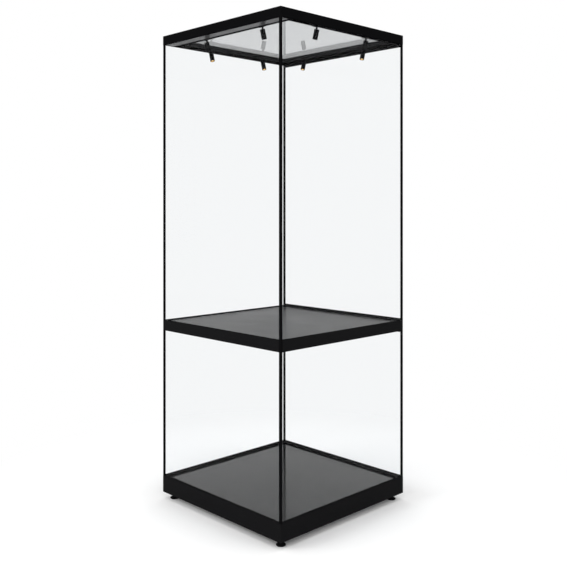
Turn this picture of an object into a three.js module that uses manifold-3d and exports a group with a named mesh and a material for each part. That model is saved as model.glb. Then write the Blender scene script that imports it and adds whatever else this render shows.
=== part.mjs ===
// A free-standing pedestal display case: two glazed chambers, one above the other, between a black
// base, a deck and a top band, with four thin corner posts, a door to each chamber at the back and
// eight small spotlights on a track under the glass ceiling.
// Millimetres, +Z up. The origin is on the floor under the centre of the case.
// The front is -Y, the right side is +X, and the doors are on the back, +Y.
// "Depth" is measured inwards from the outer face of the case, the same on each of its four sides.
import * as THREE from "three";
import { mergeVertices } from "three/addons/utils/BufferGeometryUtils.js";
import Module from "manifold-3d";

const wasm = await Module();
wasm.setup();

// ---- Overall sizes and levels ----
const CASE_WIDTH = 800; // square on plan
const CASE_HEIGHT = 2180;
const BASE_UNDERSIDE = 30; // floor to the underside of the base
const BASE_RIM = 110; // top of the glazing channel of the base
const DECK_RIM = 842; // top of the glazing channel of the deck
const DECK_HEIGHT = 50; // over both its channels
const BAND_HEIGHT = 42; // the band round the top
const FLOOR_DROP = 11; // floor panel below the rim of the base
const BOARD_DROP = 4.5; // deck board below the rim of the deck

// ---- Sections of the frames ----
const SKIN = 2.7; // outer wall
const PLATE = 3; // ledges, flanges and webs
const LIP = 1.5; // walls of the glazing channels
const CHANNEL_RISE = 4.7; // how far a channel stands clear of its fascia
const EDGE = 0.7; // chamfer on the visible edges
const FIT = 0.3; // clearance between pieces that sit in one another
const BASE_SEAT_DEPTH = 10; // rim to glass seat
const DECK_SEAT_DEPTH = 9;
const DECK_HEAD_DEPTH = 14; // grooves above the glass are deeper, so that a pane can be lifted in
const TOP_HEAD_DEPTH = 14;
const LEDGE_REACH = 28; // depth of the ledges under floor panel and deck board
const FLANGE_REACH = 40; // depth of the bottom flange of the base
const HANGER_REACH = 20; // depth of the flange that the ceiling frame hangs from
const TOP_RIM_REACH = 12;
const FLOOR_THICKNESS = 12;
const BOARD_THICKNESS = 16;

// ---- Glass and posts ----
const GLASS = 6;
const CEILING_GLASS = 8;
const PANE_JOINT = 0.5; // between the front pane and a side pane
const HEAD_CLEARANCE = 1.5; // above a pane in its groove
const POST_LEG = 10; // L angle
const POST_INSET = 0.5; // post face behind the fascia face

// ---- Doors ----
const DOOR_GAP = 1.5;
const RAIL_HEIGHT = 9.5;
const RAIL_HALF = 4.8; // half the thickness of a rail
const PIVOT_SET = 7; // pivot axis in from the edge of the door
const PIN_RADIUS = 3;
const PIN_LENGTH = 7;
const PIN_PLAY = 0.4;
const COLLAR_RADIUS = 5;
const FLANGE_LIFT = 2.5; // door flange above the floor panel or deck board
const DOOR_FLANGE_REACH = 24;
const DOOR_RELIEF = 16; // side channels stop this far from the back, clear of the turning door

// ---- Locks ----
const LOCK_INSET = 80; // lock axis in from the right side of the case
const LOCK_HEAD_RADIUS = 10;
const LOCK_RADIUS = 8;
const LOCK_HEAD = 1.5; // thickness of the head, let into the fascia
const LOCK_RECESS = 0.2;
const LOCK_LENGTH = 17.5;
const PLUG_RADIUS = 5.5;
const PLUG_RECESS = 0.6;
const KEYWAY_WIDTH = 1.2;
const KEYWAY_HEIGHT = 7;
const KEYWAY_DEPTH = 2.5;
const CAM_DEPTH = 18;
const CAM_THICKNESS = 2.5;
const CAM_LENGTH = 37;
const CAM_HALF = 4;
const CAM_OVERHANG = 3.5; // cam past the door flange when locked
const CAM_SCREW_RADIUS = 4;
const CAM_SCREW_HEAD = 2;
const CAM_PLAY = 0.5;

// ---- Base fittings ----
const CORNER_PLATE = 75;
const CORNER_PLATE_THICKNESS = 5;
const FOOT_INSET = 39;
const FOOT_PAD_RADIUS = 20.5;
const FOOT_PAD_HEIGHT = 5;
const FOOT_CONE_HEIGHT = 6;
const FOOT_NECK_RADIUS = 9;
const FOOT_HEX_RADIUS = 9.8;
const FOOT_HEX_HEIGHT = 8;
const FOOT_STEM_RADIUS = 5;
const FOOT_STEM_TOP = 62;
const STEM_PLAY = 0.5;
const BOSS_HEIGHT = 12;
const CROSS_RAIL_Y = 130;
const CROSS_RAIL_WIDTH = 30;
const CROSS_RAIL_HEIGHT = 15;
const DRIVER_LENGTH = 150;
const DRIVER_WIDTH = 40;
const DRIVER_HEIGHT = 27;
const DRIVER_TAB = 12;
const GLAND_INSET = 100; // gland in from the left side of the case
const GLAND_DEPTH = 22;
const GLAND_HEX_RADIUS = 9;
const GLAND_HEX_HEIGHT = 9;
const GLAND_NUT_HEIGHT = 5;
const GLAND_BODY_RADIUS = 6.5;
const GLAND_BORE_RADIUS = 3.5;

// ---- Ceiling ----
const SOFFIT_WIDTH = 44; // satin plate between the front glass and the ceiling frame
const CEILING_WALL = 2.5;
const CEILING_FLANGE = 22.4;
const CEILING_DROP = 17; // underside of the glass below the top of the case
const CEILING_UPSTAND = 7;
const GLASS_EDGE_GAP = 1.5;
const TRACK_WIDTH = 17;
const TRACK_HEIGHT = 14;
const TRACK_WALL = 1.8;
const TRACK_LIP = 2;
const TRACK_SLOT = 7.4;

// ---- Spotlights, placed along the track as seen ----
const FRONT_RIGHT_X = 201;
const FRONT_LEFT_X = -176;
const RIGHT_FRONT_Y = -147;
const RIGHT_BACK_Y = 178;
const BACK_RIGHT_X = 191;
const BACK_LEFT_X = -210;
const LEFT_BACK_Y = 204;
const LEFT_FRONT_Y = -141;
const SPOT_TILT = 16; // degrees from straight down, inwards
const ADAPTER_BEHIND = 22;
const ADAPTER_AHEAD = 12;
const ADAPTER_HALF = 7;
const ADAPTER_HEIGHT = 4;
const TONGUE_HALF_LENGTH = 10;
const TEE_OVERLAP = 1.8; // T head over each lip of the track
const TEE_HEIGHT = 3;
const TONGUE_PLAY = 0.5;
const KNOB_OFFSET = 17;
const KNOB_RADIUS = 2.5;
const KNOB_LENGTH = 3;
const KNUCKLE_RADIUS = 5;
const KNUCKLE_HEIGHT = 3;
const SPIGOT_RADIUS = 3;
const SPIGOT_LENGTH = 2.4;
const KNUCKLE_PIVOT_DROP = 13; // pivot below the knuckle
const BLADE_THICKNESS = 3;
const BLADE_HALF = 4;
const TILT_PIN_RADIUS = 1.5;
const HEAD_RADIUS = 11;
const HEAD_LENGTH = 44;
const HEAD_PIVOT_SET = 5.5; // pivot from the rear end
const HEAD_SLOT_DEPTH = 10.5;
const HEAD_EDGE = 0.8;
const LENS_RADIUS = 9;
const LENS_RECESS = 1.6;
const COOLING_GROOVES = 2;
const GROOVE_START = 13; // first groove from the rear end
const GROOVE_PITCH = 3;
const GROOVE_WIDTH = 1.2;
const GROOVE_DEPTH = 0.8;

const ROUND = 16; // sides of the larger round pieces
const SMALL_ROUND = 8; // sides of the pins and knobs
const SPOT_ROUND = 12; // sides of the spotlights and their knuckles
const HEX = 6;
const OVERSHOOT = 1; // how far a cutting shape runs past the face it opens

// ---- Derived ----
const HALF = CASE_WIDTH / 2;
const LIP_OUT = SKIN - LIP;
const GLASS_OUT = SKIN + FIT;
const GLASS_IN = GLASS_OUT + GLASS;
const GROOVE_IN = GLASS_IN + FIT;
const LIP_IN = GROOVE_IN + LIP;
const BOARD_OUT = LIP_IN + FIT;
const POST_END = POST_INSET + POST_LEG;
const SKIRT_TOP = BASE_RIM - CHANNEL_RISE;
const BASE_SEAT = BASE_RIM - BASE_SEAT_DEPTH;
const FLOOR_TOP = BASE_RIM - FLOOR_DROP;
const FLOOR_UNDER = FLOOR_TOP - FLOOR_THICKNESS;
const DECK_FOOT = DECK_RIM - DECK_HEIGHT;
const DECK_SEAT = DECK_RIM - DECK_SEAT_DEPTH;
const DECK_GROOVE = DECK_FOOT + DECK_HEAD_DEPTH;
const DECK_HEAD = DECK_FOOT + CHANNEL_RISE;
const BOARD_TOP = DECK_RIM - BOARD_DROP;
const BOARD_UNDER = BOARD_TOP - BOARD_THICKNESS;
const BASE_SILL = FLOOR_TOP + FLANGE_LIFT - DOOR_GAP;
const DECK_SILL = BOARD_TOP + FLANGE_LIFT - DOOR_GAP;
const BAND_FOOT = CASE_HEIGHT - BAND_HEIGHT;
const TOP_GROOVE = BAND_FOOT + TOP_HEAD_DEPTH;
const DOOR_HALF = HALF - POST_END - DOOR_GAP;
const PIVOT_X = PIVOT_SET - DOOR_HALF;
const PIVOT_DEPTH = GLASS_OUT + GLASS / 2;
const LOCK_X = HALF - LOCK_INSET;
const RAIL_OUT = PIVOT_DEPTH - RAIL_HALF;
const RAIL_IN = PIVOT_DEPTH + RAIL_HALF;
const LOCK_REACH = FLANGE_LIFT + PLATE + CAM_OVERHANG - CAM_LENGTH; // lock axis from the board
const CEILING_UNDER = CASE_HEIGHT - CEILING_DROP;
const TRACK_TOP = CEILING_UNDER - PLATE;
const TRACK_FOOT = TRACK_TOP - TRACK_HEIGHT;
const TRACK_OUT = CEILING_FLANGE + FIT;
const TRACK_IN = TRACK_OUT + TRACK_WIDTH;
const TRACK_MID = TRACK_OUT + TRACK_WIDTH / 2;
const CEILING_FRONT = SOFFIT_WIDTH - HALF + BOARD_OUT; // front edge of the ceiling frame, in Y

// Outer edges on plan: of the case, and of the ceiling frame, which is set back from the front.
const CASE_PLAN = { left: -HALF, right: HALF, front: -HALF, back: HALF };
const CEILING_PLAN = {
  left: BOARD_OUT - HALF,
  right: HALF - BOARD_OUT,
  front: CEILING_FRONT,
  back: HALF - BOARD_OUT,
};

// ---- Finishes ----
const FINISHES = {
  satinBlack: { color: 0x16161a, roughness: 0.42, metalness: 0.1 },
  satinGrey: { color: 0x4a4a4e, roughness: 0.3, metalness: 0.2 },
  darkBoard: { color: 0x2c2c30, roughness: 0.22, metalness: 0.0 },
  glass: { color: 0xe8f1ee, roughness: 0.03, metalness: 0, transparent: true, opacity: 0.18 },
  trackBlack: { color: 0x202022, roughness: 0.4, metalness: 0.4 },
  lampBlack: { color: 0x1a1a1c, roughness: 0.38, metalness: 0.3 },
  chrome: { color: 0xd0d2d4, roughness: 0.12, metalness: 1 },
  zincSteel: { color: 0x9a9ca0, roughness: 0.35, metalness: 1 },
  plasticBlack: { color: 0x1c1c1c, roughness: 0.6, metalness: 0 },
  plasticWhite: { color: 0xe4e4e0, roughness: 0.5, metalness: 0 },
};

// ---- Shape helpers ----

// The geometry with each vertex moved to where at(x, y, z) says.
function placed(geometry, at) {
  const position = geometry.getAttribute("position");
  for (let i = 0; i < position.count; i++) {
    position.setXYZ(i, ...at(position.getX(i), position.getY(i), position.getZ(i)));
  }
  return geometry;
}

// A closed geometry with its shared vertices merged, as a solid that can be joined and cut.
function solidOf(geometry) {
  const bare = new THREE.BufferGeometry();
  bare.setAttribute("position", geometry.getAttribute("position"));
  bare.setIndex(geometry.getIndex());
  const merged = mergeVertices(bare, 1e-4);
  const corners = merged.getIndex().array;
  const triVerts = [];
  for (let i = 0; i < corners.length; i += 3) {
    const [a, b, c] = [corners[i], corners[i + 1], corners[i + 2]];
    if (a !== b && b !== c && c !== a) {
      triVerts.push(a, b, c);
    }
  }
  const vertProperties = merged.getAttribute("position").array;
  const mesh = new wasm.Mesh({ numProp: 3, vertProperties, triVerts: new Uint32Array(triVerts) });
  return new wasm.Manifold(mesh);
}

function geometryOf(solid) {
  const { vertProperties, triVerts } = solid.getMesh();
  const geometry = new THREE.BufferGeometry();
  geometry.setAttribute("position", new THREE.BufferAttribute(vertProperties, 3));
  geometry.setIndex(new THREE.BufferAttribute(triVerts, 1));
  const flat = geometry.toNonIndexed();
  flat.computeVertexNormals();
  return flat;
}

// The pieces joined to one body, less the cuts.
function shaped(pieces, cuts = []) {
  let solid = solidOf(pieces[0]);
  for (const piece of pieces.slice(1)) {
    solid = solid.add(solidOf(piece));
  }
  for (const tool of cuts) {
    solid = solid.subtract(solidOf(tool));
  }
  return geometryOf(solid);
}

// A block between two values on each axis, given in either order.
function block(xa, xb, ya, yb, za, zb) {
  const low = [Math.min(xa, xb), Math.min(ya, yb), Math.min(za, zb)];
  const high = [Math.max(xa, xb), Math.max(ya, yb), Math.max(za, zb)];
  const pick = (value, axis) => (value < 0 ? low[axis] : high[axis]);
  return placed(new THREE.BoxGeometry(1, 1, 1), (x, y, z) => [pick(x, 0), pick(y, 1), pick(z, 2)]);
}

// An upright cylinder, or a prism if it has few sides.
function rod(radius, z0, z1, sides = ROUND, x = 0, y = 0) {
  const upright = new THREE.CylinderGeometry(radius, radius, 1, sides);
  return placed(upright, (a, b, c) => [x + a, y - c, b < 0 ? z0 : z1]);
}

// A cylinder along Y that goes in from one depth to another at the back of the case.
function rearRod(radius, outer, inner, x, z, sides = ROUND) {
  const lying = new THREE.CylinderGeometry(radius, radius, 1, sides);
  return placed(lying, (a, b, c) => [x + a, HALF - (b < 0 ? inner : outer), z + c]);
}

// A cylinder along X through the origin, reaching the same length to both sides.
function crossRod(radius, reach, sides = SMALL_ROUND) {
  const lying = new THREE.CylinderGeometry(radius, radius, 2 * reach, sides);
  return placed(lying, (a, b, c) => [b, c, a]);
}

// A body turned about the upright axis, from [radius, height] points that run up its outside.
function turned(profile, sides = ROUND) {
  const points = profile.map(([radius, height]) => new THREE.Vector2(radius, height));
  return placed(new THREE.LatheGeometry(points, sides), (a, b, c) => [a, -c, b]);
}

// The corner of a plan rectangle, moved in by a depth. They run from front left anticlockwise.
function planCorner(plan, corner, depth) {
  const onLeft = corner === 0 || corner === 3;
  const onFront = corner < 2;
  return [
    onLeft ? plan.left + depth : plan.right - depth,
    onFront ? plan.front + depth : plan.back - depth,
  ];
}

// One side of a frame: a [depth, height] outline run along a side of the plan, mitred at both ends.
function frameSide(plan, side, outline) {
  const shape = new THREE.Shape(outline.map(([depth, height]) => new THREE.Vector2(depth, height)));
  const straight = new THREE.ExtrudeGeometry(shape, { depth: 1, bevelEnabled: false });
  return placed(straight, (depth, height, end) => [
    ...planCorner(plan, (side + (end > 0.5 ? 1 : 0)) % 4, depth),
    height,
  ]);
}

const FRONT = 0;
const RIGHT = 1;
const BACK = 2;
const LEFT = 3;

function frameSides(plan, outline, backOutline = outline) {
  return [FRONT, RIGHT, BACK, LEFT].map((side) =>
    frameSide(plan, side, side === BACK ? backOutline : outline),
  );
}

// The four corners of the case, as the signs of X and Y.
const CORNERS = [
  { name: "front_left", x: -1, y: -1 },
  { name: "front_right", x: 1, y: -1 },
  { name: "back_right", x: 1, y: 1 },
  { name: "back_left", x: -1, y: 1 },
];
const BACK_CORNERS = CORNERS.filter((corner) => corner.y > 0);

// ---- Scene graph ----
const displayCase = new THREE.Group();
displayCase.name = "pedestal_display_case";

function add(name, geometry, finish, parent = displayCase) {
  geometry.computeVertexNormals();
  const mesh = new THREE.Mesh(geometry, new THREE.MeshStandardMaterial(FINISHES[finish]));
  mesh.name = name;
  parent.add(mesh);
  return mesh;
}

// ---- Cuts shared by the frames ----

// Room for the posts: an L at each corner, through the outer wall.
function postNotches(z0, z1) {
  const along = HALF - POST_END - FIT;
  const wall = HALF - SKIN;
  const past = HALF + OVERSHOOT;
  return CORNERS.flatMap(({ x, y }) => [
    block(x * past, x * wall, y * past, y * along, z0, z1),
    block(x * past, x * along, y * past, y * wall, z0, z1),
  ]);
}

// The inner channel lips of both sides stop short of the back, where the door turns.
function doorReliefs(z0, z1) {
  const past = HALF + OVERSHOOT;
  return BACK_CORNERS.map(({ x }) =>
    block(x * (HALF - GROOVE_IN), x * (HALF - BOARD_OUT), HALF - DOOR_RELIEF, past, z0, z1),
  );
}

// The side grooves run on to the back posts, for the ends of the side panes.
function grooveEnds(z0, z1) {
  return BACK_CORNERS.map(({ x }) =>
    block(x * (HALF - GROOVE_IN), x * (HALF - SKIN), HALF - DOOR_RELIEF, HALF - SKIN, z0, z1),
  );
}

function pivotHole(z0, z1) {
  return rod(PIN_RADIUS + PIN_PLAY, z0, z1, ROUND, PIVOT_X, HALF - PIVOT_DEPTH);
}

// The slot that a turning cam needs in a ledge, a board or a door flange.
function camSlot(z0, z1) {
  return block(
    LOCK_X - CAM_LENGTH - CAM_HALF,
    LOCK_X + CAM_HALF + CAM_OVERHANG,
    HALF - CAM_DEPTH + CAM_PLAY,
    HALF - CAM_DEPTH - CAM_THICKNESS - CAM_PLAY,
    z0,
    z1,
  );
}

// Hole and counterbore for a lock in the back fascia.
function lockHole(z) {
  return [
    rearRod(LOCK_RADIUS + FIT, -OVERSHOOT, SKIN + OVERSHOOT, LOCK_X, z),
    rearRod(LOCK_HEAD_RADIUS + FIT, -OVERSHOOT, LOCK_HEAD, LOCK_X, z),
  ];
}

const LOWER_LOCK_Z = FLOOR_TOP + LOCK_REACH;
const UPPER_LOCK_Z = BOARD_TOP + LOCK_REACH;

// ---- Base frame ----
const BASE_INSIDE = [
  [LIP_IN, FLOOR_UNDER],
  [LEDGE_REACH, FLOOR_UNDER],
  [LEDGE_REACH, FLOOR_UNDER - PLATE],
  [SKIN, FLOOR_UNDER - PLATE],
  [SKIN, BASE_UNDERSIDE + PLATE],
  [FLANGE_REACH, BASE_UNDERSIDE + PLATE],
  [FLANGE_REACH, BASE_UNDERSIDE],
  [0, BASE_UNDERSIDE],
];
const baseGlazed = [
  [0, SKIRT_TOP - EDGE],
  [EDGE, SKIRT_TOP],
  [LIP_OUT, SKIRT_TOP],
  [LIP_OUT, BASE_RIM],
  [SKIN, BASE_RIM],
  [SKIN, BASE_SEAT],
  [GROOVE_IN, BASE_SEAT],
  [GROOVE_IN, BASE_RIM],
  [LIP_IN, BASE_RIM],
  ...BASE_INSIDE,
];
const baseSill = [[0, BASE_SILL - EDGE], [EDGE, BASE_SILL], [LIP_IN, BASE_SILL], ...BASE_INSIDE];

const plateTop = BASE_UNDERSIDE + CORNER_PLATE_THICKNESS;
const plateIn = HALF - CORNER_PLATE;
const plateOut = HALF - SKIN / 2;
const footAt = HALF - FOOT_INSET;
const cornerPieces = CORNERS.flatMap(({ x, y }) => [
  block(x * plateIn, x * plateOut, y * plateIn, y * plateOut, BASE_UNDERSIDE, plateTop),
  rod(FOOT_HEX_RADIUS, BASE_UNDERSIDE, plateTop + BOSS_HEIGHT, HEX, x * footAt, y * footAt),
]);
const stemHoles = CORNERS.map(({ x, y }) =>
  rod(
    FOOT_STEM_RADIUS + STEM_PLAY,
    BASE_UNDERSIDE - OVERSHOOT,
    plateTop + BOSS_HEIGHT + OVERSHOOT,
    ROUND,
    x * footAt,
    y * footAt,
  ),
);
// Under each back post the sill is built up to the top of the skirt.
const postSeats = BACK_CORNERS.map(({ x }) =>
  block(x * HALF, x * (HALF - POST_END), HALF, HALF - SKIN, BASE_SILL - PLATE, SKIRT_TOP),
);
// Cross rails under the floor panel: channels, open below.
const railFoot = FLOOR_UNDER - CROSS_RAIL_HEIGHT;
const crossRails = [-CROSS_RAIL_Y, CROSS_RAIL_Y].flatMap((y) => {
  const reach = HALF - SKIN / 2;
  const near = y - CROSS_RAIL_WIDTH / 2;
  const far = y + CROSS_RAIL_WIDTH / 2;
  return [
    block(-reach, reach, near, far, FLOOR_UNDER - PLATE, FLOOR_UNDER),
    block(-reach, reach, near, near + PLATE, railFoot, FLOOR_UNDER),
    block(-reach, reach, far - PLATE, far, railFoot, FLOOR_UNDER),
  ];
});
const glandX = GLAND_INSET - HALF;
const glandY = HALF - GLAND_DEPTH;
const glandHole = rod(
  GLAND_BODY_RADIUS + FIT,
  BASE_UNDERSIDE - OVERSHOOT,
  BASE_UNDERSIDE + PLATE + OVERSHOOT,
  ROUND,
  glandX,
  glandY,
);
const baseFrame = shaped(
  [...frameSides(CASE_PLAN, baseGlazed, baseSill), ...cornerPieces, ...postSeats, ...crossRails],
  [
    ...postNotches(SKIRT_TOP, BASE_RIM + OVERSHOOT),
    ...doorReliefs(BASE_SEAT, BASE_RIM + OVERSHOOT),
    ...stemHoles,
    ...lockHole(LOWER_LOCK_Z),
    camSlot(FLOOR_UNDER - PLATE - OVERSHOOT, FLOOR_UNDER + OVERSHOOT),
    ...grooveEnds(BASE_SEAT, BASE_RIM + OVERSHOOT),
    pivotHole(BASE_SILL - PIN_LENGTH, BASE_SILL + OVERSHOOT),
    glandHole,
  ],
);
add("base_frame", baseFrame, "satinBlack");

const boardHalf = HALF - BOARD_OUT;
const floorPanel = shaped(
  [block(-boardHalf, boardHalf, -boardHalf, boardHalf, FLOOR_UNDER, FLOOR_TOP)],
  [camSlot(FLOOR_UNDER - OVERSHOOT, FLOOR_TOP + OVERSHOOT)],
);
add("floor_panel", floorPanel, "darkBoard");

// ---- Posts: L angles from the skirt to the top band ----
const postOut = -HALF + POST_INSET;
const postIn = -HALF + SKIN;
const postEnd = -HALF + POST_END;
const postShape = new THREE.Shape([
  new THREE.Vector2(postOut, postOut),
  new THREE.Vector2(postEnd, postOut),
  new THREE.Vector2(postEnd, postIn),
  new THREE.Vector2(postIn, postIn),
  new THREE.Vector2(postIn, postEnd),
  new THREE.Vector2(postOut, postEnd),
]);
CORNERS.forEach(({ name }, quarter) => {
  const angle = new THREE.ExtrudeGeometry(postShape, { depth: 1, bevelEnabled: false });
  placed(angle, (x, y, end) => [x, y, end > 0.5 ? BAND_FOOT : SKIRT_TOP]);
  add(`post_${name}`, angle, "satinBlack").rotation.z = (quarter * Math.PI) / 2;
});

// ---- Deck frame and board ----
const DECK_LEDGE = [
  [LIP_IN, DECK_SEAT - PLATE],
  [SKIN, DECK_SEAT - PLATE],
  [SKIN, BOARD_UNDER],
  [LEDGE_REACH, BOARD_UNDER],
  [LEDGE_REACH, BOARD_UNDER - PLATE],
  [SKIN, BOARD_UNDER - PLATE],
];
const deckGlazed = [
  [LIP_OUT, DECK_FOOT],
  [LIP_OUT, DECK_HEAD],
  [EDGE, DECK_HEAD],
  [0, DECK_HEAD + EDGE],
  [0, DECK_RIM - CHANNEL_RISE - EDGE],
  [EDGE, DECK_RIM - CHANNEL_RISE],
  [LIP_OUT, DECK_RIM - CHANNEL_RISE],
  [LIP_OUT, DECK_RIM],
  [SKIN, DECK_RIM],
  [SKIN, DECK_SEAT],
  [GROOVE_IN, DECK_SEAT],
  [GROOVE_IN, DECK_RIM],
  [LIP_IN, DECK_RIM],
  ...DECK_LEDGE,
  [SKIN, DECK_GROOVE + PLATE],
  [LIP_IN, DECK_GROOVE + PLATE],
  [LIP_IN, DECK_FOOT],
  [GROOVE_IN, DECK_FOOT],
  [GROOVE_IN, DECK_GROOVE],
  [SKIN, DECK_GROOVE],
  [SKIN, DECK_FOOT],
];
const deckSill = [
  [EDGE, DECK_HEAD],
  [0, DECK_HEAD + EDGE],
  [0, DECK_SILL - EDGE],
  [EDGE, DECK_SILL],
  [LIP_IN, DECK_SILL],
  ...DECK_LEDGE,
  [SKIN, DECK_HEAD + PLATE],
  [LIP_IN, DECK_HEAD + PLATE],
  [LIP_IN, DECK_HEAD],
];
const deckFrame = shaped(frameSides(CASE_PLAN, deckGlazed, deckSill), [
  ...postNotches(DECK_FOOT - OVERSHOOT, DECK_RIM + OVERSHOOT),
  ...doorReliefs(DECK_FOOT - OVERSHOOT, DECK_HEAD),
  ...doorReliefs(DECK_SEAT, DECK_RIM + OVERSHOOT),
  ...grooveEnds(DECK_FOOT - OVERSHOOT, DECK_GROOVE),
  ...grooveEnds(DECK_SEAT, DECK_RIM + OVERSHOOT),
  ...lockHole(UPPER_LOCK_Z),
  camSlot(BOARD_UNDER - PLATE - OVERSHOOT, BOARD_UNDER + OVERSHOOT),
  pivotHole(DECK_HEAD - OVERSHOOT, DECK_HEAD + PLATE + OVERSHOOT),
  pivotHole(DECK_SEAT - PLATE - OVERSHOOT, DECK_SILL + OVERSHOOT),
]);
add("deck_frame", deckFrame, "satinBlack");

const deckBoard = shaped(
  [block(-boardHalf, boardHalf, -boardHalf, boardHalf, BOARD_UNDER, BOARD_TOP)],
  [camSlot(BOARD_UNDER - OVERSHOOT, BOARD_TOP + OVERSHOOT)],
);
add("deck_board", deckBoard, "darkBoard");

// ---- Top frame ----
const TOP_INSIDE = [
  [LIP_IN, BAND_FOOT],
  [LIP_IN, TOP_GROOVE],
  [HANGER_REACH, TOP_GROOVE],
  [HANGER_REACH, TOP_GROOVE + PLATE],
  [SKIN, TOP_GROOVE + PLATE],
  [SKIN, CASE_HEIGHT - PLATE],
  [TOP_RIM_REACH, CASE_HEIGHT - PLATE],
  [TOP_RIM_REACH, CASE_HEIGHT],
  [EDGE, CASE_HEIGHT],
  [0, CASE_HEIGHT - EDGE],
  [0, BAND_FOOT],
];
const topGlazed = [
  [SKIN, BAND_FOOT],
  [SKIN, TOP_GROOVE],
  [GROOVE_IN, TOP_GROOVE],
  [GROOVE_IN, BAND_FOOT],
  ...TOP_INSIDE,
];
const topFrame = shaped(frameSides(CASE_PLAN, topGlazed, TOP_INSIDE), [
  ...grooveEnds(BAND_FOOT - OVERSHOOT, TOP_GROOVE),
  pivotHole(BAND_FOOT - OVERSHOOT, BAND_FOOT + PIN_LENGTH),
]);
add("top_frame", topFrame, "satinBlack");

// ---- Ceiling: frame, front soffit, track ring and glass ----
const ceilingOutline = [
  [0, BAND_FOOT],
  [CEILING_FLANGE, BAND_FOOT],
  [CEILING_FLANGE, TRACK_TOP],
  [TRACK_IN, TRACK_TOP],
  [TRACK_IN, CEILING_UNDER],
  [CEILING_FLANGE, CEILING_UNDER],
  [CEILING_FLANGE, CEILING_UNDER + CEILING_UPSTAND],
  [CEILING_FLANGE - CEILING_WALL, CEILING_UNDER + CEILING_UPSTAND],
  [CEILING_FLANGE - CEILING_WALL, BAND_FOOT + CEILING_WALL],
  [CEILING_WALL, BAND_FOOT + CEILING_WALL],
  [CEILING_WALL, TOP_GROOVE],
  [0, TOP_GROOVE],
];
add("ceiling_frame", shaped(frameSides(CEILING_PLAN, ceilingOutline)), "satinBlack");

const soffitFront = BOARD_OUT - HALF;
const soffitBack = CEILING_FRONT - FIT;
const soffit = shaped([
  block(-boardHalf, boardHalf, soffitFront, soffitBack, BAND_FOOT, BAND_FOOT + CEILING_WALL),
  block(-boardHalf, boardHalf, soffitFront, soffitFront + CEILING_WALL, BAND_FOOT, TOP_GROOVE),
  block(-boardHalf, boardHalf, soffitBack - CEILING_WALL, soffitBack, BAND_FOOT, TOP_GROOVE),
]);
add("front_soffit", soffit, "satinGrey");

const slotOut = TRACK_MID - TRACK_SLOT / 2;
const slotIn = TRACK_MID + TRACK_SLOT / 2;
const trackOutline = [
  [TRACK_OUT, TRACK_FOOT],
  [slotOut, TRACK_FOOT],
  [slotOut, TRACK_FOOT + TRACK_LIP],
  [TRACK_OUT + TRACK_WALL, TRACK_FOOT + TRACK_LIP],
  [TRACK_OUT + TRACK_WALL, TRACK_TOP - TRACK_WALL],
  [TRACK_IN - TRACK_WALL, TRACK_TOP - TRACK_WALL],
  [TRACK_IN - TRACK_WALL, TRACK_FOOT + TRACK_LIP],
  [slotIn, TRACK_FOOT + TRACK_LIP],
  [slotIn, TRACK_FOOT],
  [TRACK_IN, TRACK_FOOT],
  [TRACK_IN, TRACK_TOP],
  [TRACK_OUT, TRACK_TOP],
];
add("light_track", shaped(frameSides(CEILING_PLAN, trackOutline)), "trackBlack");

const glassEdge = CEILING_FLANGE + GLASS_EDGE_GAP;
const ceilingGlass = block(
  CEILING_PLAN.left + glassEdge,
  CEILING_PLAN.right - glassEdge,
  CEILING_PLAN.front + glassEdge,
  CEILING_PLAN.back - glassEdge,
  CEILING_UNDER,
  CEILING_UNDER + CEILING_GLASS,
);
add("ceiling_glass", ceilingGlass, "glass");

// ---- Panes: front and both sides, below and above the deck ----
const STORIES = [
  {
    name: "lower",
    seat: BASE_SEAT,
    sill: BASE_SILL,
    groove: DECK_GROOVE,
    head: DECK_HEAD,
    lock: LOWER_LOCK_Z,
  },
  {
    name: "upper",
    seat: DECK_SEAT,
    sill: DECK_SILL,
    groove: TOP_GROOVE,
    head: BAND_FOOT,
    lock: UPPER_LOCK_Z,
  },
];
const paneOut = HALF - GLASS_OUT;
const paneIn = HALF - GLASS_IN;
for (const { name, seat, groove } of STORIES) {
  const top = groove - HEAD_CLEARANCE;
  const sideFront = PANE_JOINT - paneIn;
  add(`${name}_front_pane`, block(-paneOut, paneOut, -paneOut, -paneIn, seat, top), "glass");
  add(`${name}_left_pane`, block(-paneOut, -paneIn, sideFront, paneOut, seat, top), "glass");
  add(`${name}_right_pane`, block(paneIn, paneOut, sideFront, paneOut, seat, top), "glass");
}

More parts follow.
